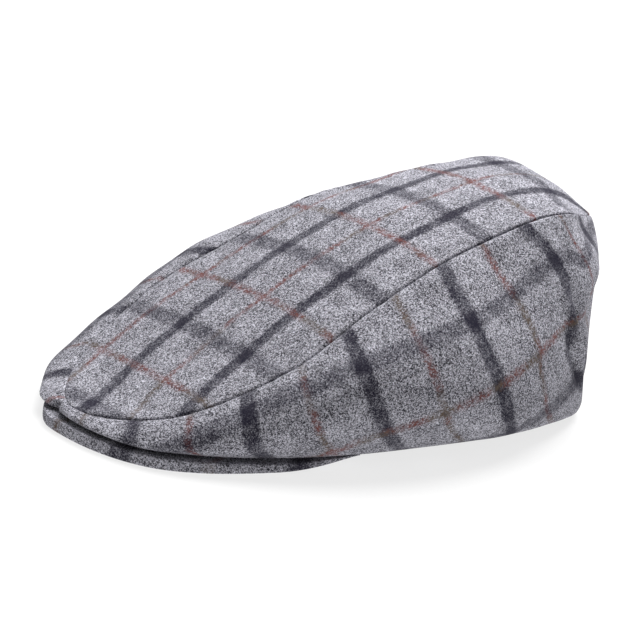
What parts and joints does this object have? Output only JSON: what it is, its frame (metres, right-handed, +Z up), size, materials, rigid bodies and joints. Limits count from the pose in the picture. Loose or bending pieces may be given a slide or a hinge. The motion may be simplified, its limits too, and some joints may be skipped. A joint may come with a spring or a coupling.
{
  "type": "flat cap",
  "caption": "Soft cloth flat cap: a leaf-shaped top panel sewn to two low side panels over a short stiff peak, hollow for the head.",
  "frame": {"origin": "centre of the bounding box at the surface that the cap rests on", "axes": "+Z up, the peak towards -Y, the wearer's left towards +X"},
  "size_m": [0.2038, 0.2874, 0.108],
  "materials": {
    "wool_check": "brushed heather wool, matt"
  },
  "bodies": {
    "root": {"top_panel": "wool_check", "side_panel_left": "wool_check", "side_panel_right": "wool_check", "peak": "wool_check"}
  },
  "joints": []
}
